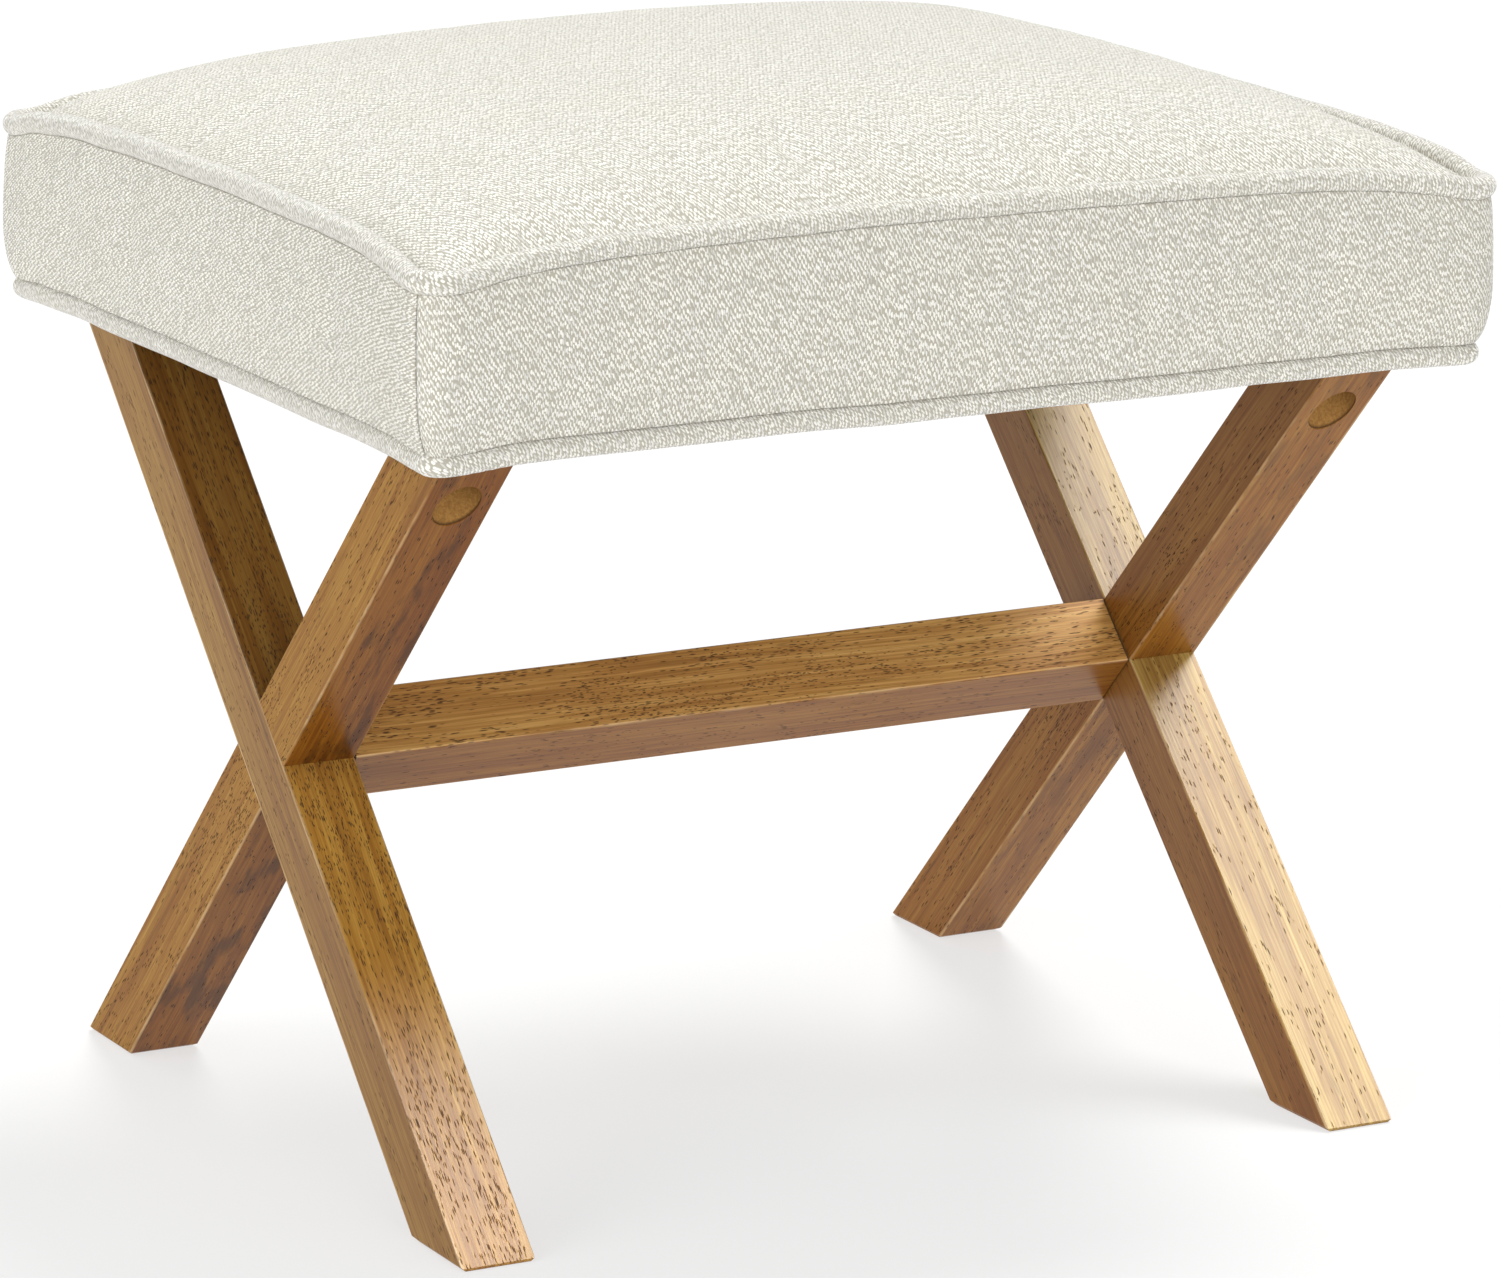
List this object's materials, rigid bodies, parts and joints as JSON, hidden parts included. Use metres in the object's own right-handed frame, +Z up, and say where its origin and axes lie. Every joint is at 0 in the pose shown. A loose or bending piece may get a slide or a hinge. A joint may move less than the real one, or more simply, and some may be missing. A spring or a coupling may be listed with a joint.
{
  "type": "upholstered ottoman",
  "caption": "Boxed, crowned ottoman seat in woven off-white fabric with piped edges, on crossed square wooden legs joined by a stretcher set on its corner.",
  "frame": {"origin": "on the floor, under the middle of the ottoman", "axes": "+X along the stretcher to the right frame, +Y to the back, +Z up"},
  "size_m": [0.522, 0.462, 0.482],
  "materials": {
    "stained_wood": "satin golden-brown stain",
    "bare_wood": "bare",
    "plywood": "bare",
    "plated_steel": "zinc plated",
    "cover_fabric": "woven, nubby",
    "welt_fabric": "woven, nubby",
    "foam": "open-cell foam",
    "wadding": "fibre wadding",
    "cotton_cord": "twisted cotton",
    "dust_cloth": "non-woven cloth"
  },
  "bodies": {
    "root": {"left_through_leg": "stained_wood", "left_lapped_leg": "stained_wood", "right_through_leg": "stained_wood", "right_lapped_leg": "stained_wood", "stretcher": "stained_wood", "left_stretcher_dowels": "bare_wood", "right_stretcher_dowels": "bare_wood", "leg_bolts": "plated_steel", "spring_washers": "plated_steel", "flat_washers": "plated_steel", "tee_nuts": "plated_steel", "seat_base": "plywood", "foam_block": "foam", "top_wadding": "wadding", "side_wadding": "wadding", "top_panel": "cover_fabric", "front_boxing": "cover_fabric", "right_boxing": "cover_fabric", "back_boxing": "cover_fabric", "left_boxing": "cover_fabric", "upper_welt": "welt_fabric", "upper_welt_cord": "cotton_cord", "lower_welt": "welt_fabric", "lower_welt_cord": "cotton_cord", "dust_cover": "dust_cloth", "cover_staples": "plated_steel", "dust_cover_staples": "plated_steel"}
  },
  "joints": []
}
